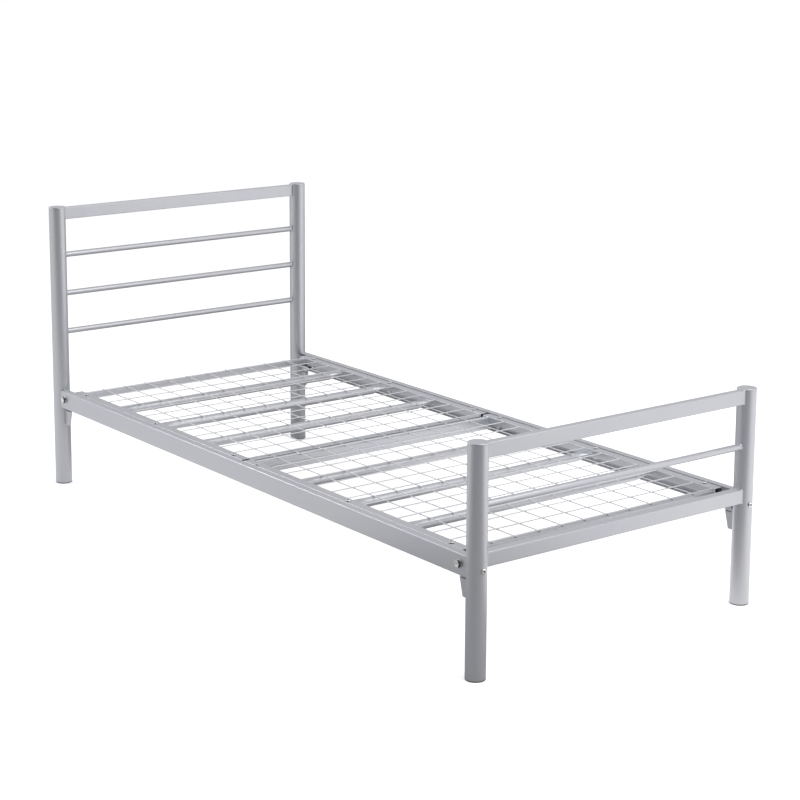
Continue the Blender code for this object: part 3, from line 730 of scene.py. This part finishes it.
def tongue_section(side, end, centre_x, z):
    """U in X and Y at a height: round nose towards the mattress, open towards the post."""
    share = (z - TONGUE_LOW) / (TONGUE_HIGH - TONGUE_LOW)
    reach = TONGUE_REACH[0] + share * (TONGUE_REACH[1] - TONGUE_REACH[0])
    inner_nose = TONGUE_NOSE - TONGUE_WALL
    inside = TONGUE_HALF - TONGUE_NOSE
    near, far = (-inside, reach - TONGUE_NOSE), (inside, reach - TONGUE_NOSE)
    outer = [(-TONGUE_HALF, 0), *arc(near, TONGUE_NOSE, 180, 90, FOLD_STEPS),
             *arc(far, TONGUE_NOSE, 90, 0, FOLD_STEPS), (TONGUE_HALF, 0)]
    inner = [(TONGUE_HALF - TONGUE_WALL, 0), *arc(far, inner_nose, 0, 90, FOLD_STEPS),
             *arc(near, inner_nose, 90, 180, FOLD_STEPS), (TONGUE_WALL - TONGUE_HALF, 0)]
    return [(centre_x + side * x, end * (BRACKET_Y - y), z) for x, y in outer + inner]


def make_bracket(place_name, side, end):
    """Corner bracket: the angle with the slotted tongue welded under it."""
    node = f"bracket_{place_name}"
    rail_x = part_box("side_rail_right")[1].x
    corner_x = side * (rail_x - CHANNEL_WALL - WELD_GAP)
    corner_y = end * BRACKET_Y
    centre_x = side * post_facts("foot")[0]
    thing = bracket_angle(side, end, corner_x, corner_y)
    rings = []
    for k in range(TONGUE_STEPS + 1):
        z = TONGUE_LOW + (TONGUE_HIGH - TONGUE_LOW) * k / TONGUE_STEPS
        rings.append(tongue_section(side, end, centre_x, z))
    bm = bmesh.new()
    skin_flat_ends(bm, rings)
    tongue = plain_object("tongue", bm)
    bm = bmesh.new()
    ys = sorted((end * (BRACKET_Y - SLOT_START), end * (BRACKET_Y - 2 * TONGUE_REACH[1])))
    xs = (centre_x - 2 * TONGUE_HALF, centre_x + 2 * TONGUE_HALF)
    block(bm, (xs[0], ys[0], TONGUE_SLOT[0]), (xs[1], ys[1], TONGUE_SLOT[1]), SLOT_CORNER)
    carve(tongue, [plain_object("slot", bm)], "DIFFERENCE")
    carve(thing, [tongue], "UNION")
    thing.name = f"{node}_visual"
    thing.data.materials.clear()
    thing.data.materials.append(PAINT)
    finish_piece(thing, node)


# ---------------------------------------------------------------- deck panels
def make_panel_side(node):
    """Rectangular tube along one side of a deck panel, open at its ends."""
    low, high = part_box(node)
    low_pair, high_pair = (low.x, low.z), (high.x, high.z)
    wall = MEMBER_WALL
    outer = rounded_rectangle(low_pair, high_pair, MEMBER_CORNER, None)
    inner = rounded_rectangle(
        [v + wall for v in low_pair], [v - wall for v in high_pair], MEMBER_CORNER - wall, None)
    bm = bmesh.new()
    tube(bm, "Y", outer, inner, low.y, high.y)
    to_piece(bm, [PAINT], node)


def make_panel_end(node):
    """Tube across a panel's end, with weld beads where it meets the side members."""
    low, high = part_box(node)
    section = rounded_rectangle((low.y, low.z), (high.y, high.z), MEMBER_CORNER)
    reach = high.x + WELD_GAP
    rings = []
    for side in SIDES.values():
        stations = FILLET if side < 0 else FILLET[::-1]
        for clear, flare in stations:
            x = side * (reach - clear)
            rings.append([(x, y, z) for y, z in grown(section, flare, side)])
    bm = bmesh.new()
    skin(bm, rings)
    to_piece(bm, [PAINT], node)


def stadium(half_high, half_flat):
    """Equally spaced points round a section with flat top and bottom and round sides."""
    curve, flat = math.pi * half_high, 2 * half_flat
    total = 2 * (curve + flat)
    points = []
    for i in range(SLAT_POINTS):
        step = (total * i / SLAT_POINTS + curve / 2) % total
        mirror = -1 if step >= total / 2 else 1
        step %= total / 2
        if step < curve:
            angle = step / half_high - math.pi / 2
            point = (half_flat + half_high * math.cos(angle), half_high * math.sin(angle))
        else:
            point = (half_flat - (step - curve), half_high)
        points.append((mirror * point[0], mirror * point[1]))
    return points


def make_slat(node):
    """Round tube whose ends are smoothly pressed flat and welded to the side members."""
    low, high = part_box(node)
    radius = (high.z - low.z) / 2
    axis_y, axis_z = (low.y + high.y) / 2, (low.z + high.z) / 2
    half = high.x + WELD_GAP
    stations = list(FILLET)
    for k in range(NECK_STEPS + 1):
        stations.append((SLAT_FLAT_LENGTH + (SLAT_NECK - SLAT_FLAT_LENGTH) * k / NECK_STEPS, 0.0))
    stations.append((half / 2, 0.0))
    rings = []
    for side in SIDES.values():
        for clear, flare in (stations if side < 0 else stations[::-1]):
            share = (clear - SLAT_FLAT_LENGTH) / (SLAT_NECK - SLAT_FLAT_LENGTH)
            share = min(max(share, 0.0), 1.0)
            share = share * share * (3 - 2 * share)
            half_high = SLAT_FLAT_HALF + (radius - SLAT_FLAT_HALF) * share
            section = stadium(half_high, math.pi * (radius - half_high) / 2)
            x = side * (half - clear)
            z = axis_z + SLAT_LIFT * (1 - share)
            rings.append([(x, axis_y + a, z + b) for a, b in grown(section, flare, side)])
    bm = bmesh.new()
    skin(bm, rings)
    to_piece(bm, [PAINT], node, weighted=False)


def add_wire(bm, axis, across, height, start, stop, crossings, random_source):
    """Round wire along an axis that wanders a little and swells where it is welded to the others."""
    stations = [start]
    for crossing in crossings:
        stations += [crossing - NUGGET_REACH, crossing, crossing + NUGGET_REACH]
    stations = [s for s in stations if start <= s < stop] + [stop]
    phase = random_source.uniform(0, 100)
    rings = []
    for s in stations:
        swell = NUGGET_SWELL if s in crossings else 1.0
        side = WIRE_WANDER * noise.noise(Vector((s * 4, phase, 0)))
        rise = 0.4 * WIRE_WANDER * noise.noise(Vector((s * 6, 0, phase)))
        ring = []
        for a, b in circle(WIRE_RADIUS * swell, WIRE_SEGMENTS):
            ring.append(place(axis, s, (across + side + a, height + rise + b)))
        rings.append(ring)
    skin(bm, rings)


def make_mesh(end_name, random_source):
    """Welded wire mesh: wires along the bed underneath, wires across it on top of them."""
    node = f"{end_name}_panel_mesh"
    low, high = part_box(node)
    middle = (WIRES_ALONG - 1) / 2
    columns = [(k - middle) * ALONG_PITCH for k in range(WIRES_ALONG)]
    rows = [low.y + ACROSS_FIRST + ACROSS_PITCH * k for k in range(WIRES_ACROSS)]
    lower = low.z + WIRE_LIFT
    bm = bmesh.new()
    for x in columns:
        add_wire(bm, "Y", x, lower, low.y + WIRE_SHORT, high.y - WIRE_SHORT, rows, random_source)
    for y in rows:
        add_wire(bm, "X", y, lower + WIRE_BED, low.x - WELD_GAP, high.x + WELD_GAP, columns, random_source)
    to_piece(bm, [WIRE_PAINT], node, weighted=False)


def make_centre_rail():
    """Flat tube under the deck, with a welded plate across each end."""
    node = "centre_cross_rail"
    low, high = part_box(node)
    half, wall = CENTRE_HALF, CENTRE_WALL
    top = TEE_LOW + TEE_SINK
    outer = rounded_rectangle((-half, low.z), (half, top), CENTRE_CORNER, None)
    inner = rounded_rectangle(
        (wall - half, low.z + wall), (half - wall, top - wall), CENTRE_CORNER - wall, None)
    bm = bmesh.new()
    tube(bm, "X", outer, inner, low.x, high.x)
    for side in SIDES.values():
        xs = sorted((side * LUG_INNER_X, side * high.x))
        block(bm, (xs[0], -TEE_HALF_WIDTH, TEE_LOW), (xs[1], TEE_HALF_WIDTH, high.z), LUG_ROUND)
        for edge in (-half, half):
            bead(bm, (xs[0], edge, top), (xs[1], edge, top), (0, 1, 0))
    to_piece(bm, [PAINT], node)


# ---------------------------------------------------------------- fasteners
def hexagon_radius(apothem, angle):
    """Distance from the middle to a hexagon's outline at an angle."""
    offset = (angle + math.pi / 6) % (math.pi / 3) - math.pi / 6
    return apothem / math.cos(offset)


def round_ring(distance, radius):
    return [(distance, radius)] * BOLT_SEGMENTS


def hexagon_ring(distance, apothem, crown=None, inward=1):
    """Ring of a hexagon. With crown, its corners fall away from a circle of that radius."""
    ring = []
    for i in range(BOLT_SEGMENTS):
        radius = hexagon_radius(apothem, 2 * math.pi * i / BOLT_SEGMENTS)
        drop = max(radius - crown, 0.0) * HEX_CHAMFER if crown else 0.0
        ring.append((distance - inward * drop, radius))
    return ring


def turned(bm, centre, axis, direction, rings, numbers, twist):
    """Skins bolt rings about an axis. Each ring holds (distance, radius) pairs."""
    placed = []
    for ring in rings:
        points = []
        for i, (distance, radius) in enumerate(ring):
            angle = 2 * math.pi * i / BOLT_SEGMENTS + twist
            flat = (radius * math.cos(angle), radius * math.sin(angle))
            points.append(Vector(place(axis, direction * distance, flat)) + centre)
        placed.append(points)
    skin(bm, placed, faces_of=numbers)


def thread_rings(start, stop, radius, pitch):
    """Ridges from one distance to a deeper one, ending in a chamfer."""
    rings = []
    distance = start
    while distance - pitch > stop:
        rings += [round_ring(distance, radius - THREAD_DEEP), round_ring(distance - pitch / 2, radius)]
        distance -= pitch
    rings.append(round_ring(stop + THREAD_DEEP, radius - THREAD_DEEP))
    rings.append(round_ring(stop, radius - 2 * THREAD_DEEP))
    return rings


def button_head(radius, height):
    """Rings of a domed head with a hexagon socket, from the socket's floor out to the head's rim."""
    inner = SOCKET * SOCKET_RIM
    rings = [round_ring(height * SOCKET_FLOOR, SOCKET * SOCKET_DRILL),
             hexagon_ring(height * SOCKET_LOW, SOCKET), hexagon_ring(height * SOCKET_HIGH, SOCKET),
             round_ring(height, inner)]
    # material 1, the dark zinc, paints shade into the socket and onto the head's side and underside
    numbers = [1, 1, 0, 0]
    side = height * HEAD_SIDE
    for k in range(1, HEAD_STEPS + 1):
        angle = math.pi / 2 * k / HEAD_STEPS
        r = inner + (radius - inner) * math.sin(angle)
        rings.append(round_ring(side + (height - side) * math.cos(angle), r))
        numbers.append(0 if k < HEAD_STEPS else 1)
    rings += [round_ring(SEAT_LIFT, radius - SEAT_ROUND), round_ring(-SEAT_SINK, radius - SEAT_INSET)]
    numbers += [1, 1]
    return rings, numbers


def nut_rings(top, low, apothem, crown):
    """Rings of a hexagon nut below a surface."""
    return [round_ring(top, crown), hexagon_ring(top, apothem, crown),
            hexagon_ring(low, apothem, crown, -1), round_ring(low, crown)]


def make_m8_bolt(node, axis, direction, head, twist):
    """Button-headed M8 bolt with its nut and the end of its thread."""
    low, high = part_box(node)
    at = "XYZ".index(axis)
    head_high = head[1]
    centre = (low + high) / 2
    centre[at] = (high if direction > 0 else low)[at] - direction * head_high
    length = high[at] - low[at] - head_high
    rings, numbers = button_head(*head)
    nut_low = M8_TAIL - length
    nut_top = nut_low + M8_NUT_HIGH
    rings += [round_ring(-2 * SEAT_SINK, M8_SHANK), round_ring(nut_top, M8_SHANK)]
    rings += nut_rings(nut_top, nut_low, M8_NUT, M8_NUT * NUT_CROWN)
    rings += thread_rings(nut_low, -length, M8_SHANK, THREAD_PITCH["M8"])
    numbers += [0] * (len(rings) - len(numbers))
    bm = bmesh.new()
    turned(bm, centre, axis, direction, rings, numbers, twist)
    to_piece(bm, [BRIGHT, ZINC_PAINTED_SHADE], node)


def make_web_bolt(place_name, side, twist):
    """Hexagon-headed M10 bolt with washer and nut."""
    node = f"web_bolt_{place_name}"
    low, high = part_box(node)
    rail_x = max(abs(v.x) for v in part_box("side_rail_right"))
    centre = (low + high) / 2
    centre.x = side * rail_x
    top = max(abs(low.x), abs(high.x)) - rail_x
    bottom = min(abs(low.x), abs(high.x)) - rail_x
    washer, thick, apothem, crown = M10_WASHER, M10_THICK, M10_APOTHEM, M10_CROWN
    soft = SOFT_EDGE
    rings = [
        round_ring(top - DISH_DEEP, DISH_FLOOR), round_ring(top - 0.75 * DISH_DEEP, DISH_FOOT),
        round_ring(top, DISH_RIM), round_ring(top, crown - 0.5 * DISH_DEEP),
        hexagon_ring(top, apothem, crown), hexagon_ring(thick, apothem),
        round_ring(thick, washer - soft), round_ring(thick - soft, washer), round_ring(soft, washer),
        round_ring(0.0, washer - soft), round_ring(-soft, M10_SHANK),
    ]
    # material 1, the dark zinc, paints shade onto the hexagon's sides, the washer's face round it and its
    # lower edge
    numbers = [0, 0, 0, 0, 1, 1, 0, 0, 1, 0, 0]
    nut_low = bottom + M10_TAIL
    nut_top = nut_low + M10_NUT_HIGH
    rings += [round_ring(nut_top, M10_SHANK)] + nut_rings(nut_top, nut_low, apothem, crown)
    rings += thread_rings(nut_low, bottom, M10_SHANK, THREAD_PITCH["M10"])
    numbers += [0] * (len(rings) - len(numbers))
    bm = bmesh.new()
    turned(bm, centre, "X", side, rings, numbers, twist)
    to_piece(bm, [BRIGHT, ZINC_PAINTED_SHADE], node)


# ---------------------------------------------------------------- stage
def make_floor():
    """Large pale floor that fills the view."""
    bm = bmesh.new()
    circles = []
    for k in range(1, FLOOR_RINGS + 1):
        radius = FLOOR_REACH * (k / FLOOR_RINGS) ** 2
        circles.append([bm.verts.new((a, b, 0.0)) for a, b in circle(radius, FLOOR_SPOKES)])
    bm.faces.new(circles[0])
    for inner, outer in zip(circles, circles[1:]):
        for i in range(FLOOR_SPOKES):
            j = (i + 1) % FLOOR_SPOKES
            bm.faces.new((inner[i], outer[i], outer[j], inner[j]))
    floor = plain_object("floor", bm)
    floor.data.materials.append(floor_paint("floor_paint"))


def make_room():
    """Room bright on the right, cooler on the left, dim beyond the bed and dark behind the camera.

    The camera itself sees only the even tone of its middle."""
    world = bpy.data.worlds.new("room")
    bpy.context.scene.world = world
    world.use_nodes = True
    tree = world.node_tree
    background = tree.nodes["Background"]
    view = tree.nodes.new("ShaderNodeTexCoord").outputs["Generated"]
    colour = rgba(ROOM_MIDDLE)
    for direction, low, high, part in ROOM_PARTS:
        colour = mix_colour(tree, toward(tree, view, direction, low, high), colour, rgba(part))
    seen = tree.nodes.new("ShaderNodeLightPath").outputs["Is Camera Ray"]
    colour = mix_colour(tree, seen, colour, rgba(ROOM_MIDDLE))
    tree.links.new(colour, background.inputs["Color"])


def add_softbox(name, spot, aim, size, power):
    """Rectangular area light that stands at a spot and faces another."""
    light = bpy.data.lights.new(name, "AREA")
    light.shape = "RECTANGLE"
    light.size, light.size_y = size
    light.energy = power
    thing = bpy.data.objects.new(name, light)
    thing.location = spot
    thing.rotation_euler = (Vector(aim) - Vector(spot)).to_track_quat("-Z", "Y").to_euler()
    bpy.context.scene.collection.objects.link(thing)


def make_camera():
    camera = bpy.data.cameras.new("camera")
    camera.lens = CAMERA_LENS
    camera.sensor_width = CAMERA_SENSOR
    camera.shift_x, camera.shift_y = CAMERA_SHIFT
    camera.clip_end = CAMERA_FAR
    thing = bpy.data.objects.new("camera", camera)
    thing.location = CAMERA_PLACE
    thing.rotation_euler = Euler([math.radians(angle) for angle in CAMERA_TURN])
    bpy.context.scene.collection.objects.link(thing)
    bpy.context.scene.camera = thing


# ---------------------------------------------------------------- assembly
def build():
    """Makes a piece for every node of the CAD part."""
    twists = random.Random(7)
    wires = random.Random(11)
    for end_name, end in ENDS.items():
        for side_name, side in SIDES.items():
            place_name = f"{end_name}_{side_name}"
            make_post(f"{end_name}_post_{side_name}")
            make_glide(f"glide_{place_name}")
            make_bracket(place_name, side, end)
            make_web_bolt(place_name, side, twists.uniform(0, math.pi / 3))
            make_m8_bolt(f"post_bolt_{place_name}", "Y", end, POST_HEAD, twists.uniform(0, 1))
        for part in ("outer_end", "inner_end"):
            make_panel_end(f"{end_name}_panel_{part}")
        for index in (1, 2, 3):
            make_slat(f"{end_name}_panel_slat_{index}")
        make_mesh(end_name, wires)
    for side_name in SIDES:
        make_side_rail(side_name)
        for end_name in ENDS:
            make_panel_side(f"{end_name}_panel_side_{side_name}")
        for index in range(1, DECK_BOLTS + 1):
            make_m8_bolt(f"deck_bolt_{side_name}_{index}", "Z", 1, DECK_HEAD, twists.uniform(0, 1))
    for node in ("foot_top_rail", "foot_lower_rail"):
        make_rail(node, "foot")
    make_rail("head_top_rail", "head")
    for node in ("head_bar_upper", "head_bar_middle", "head_bar_lower"):
        make_bar(node, "head")
    make_bar("foot_bar", "foot")
    make_centre_rail()


build()
make_floor()
make_room()
for softbox in SOFTBOXES:
    add_softbox(*softbox)
make_camera()
bpy.context.scene.view_settings.view_transform = "Standard"
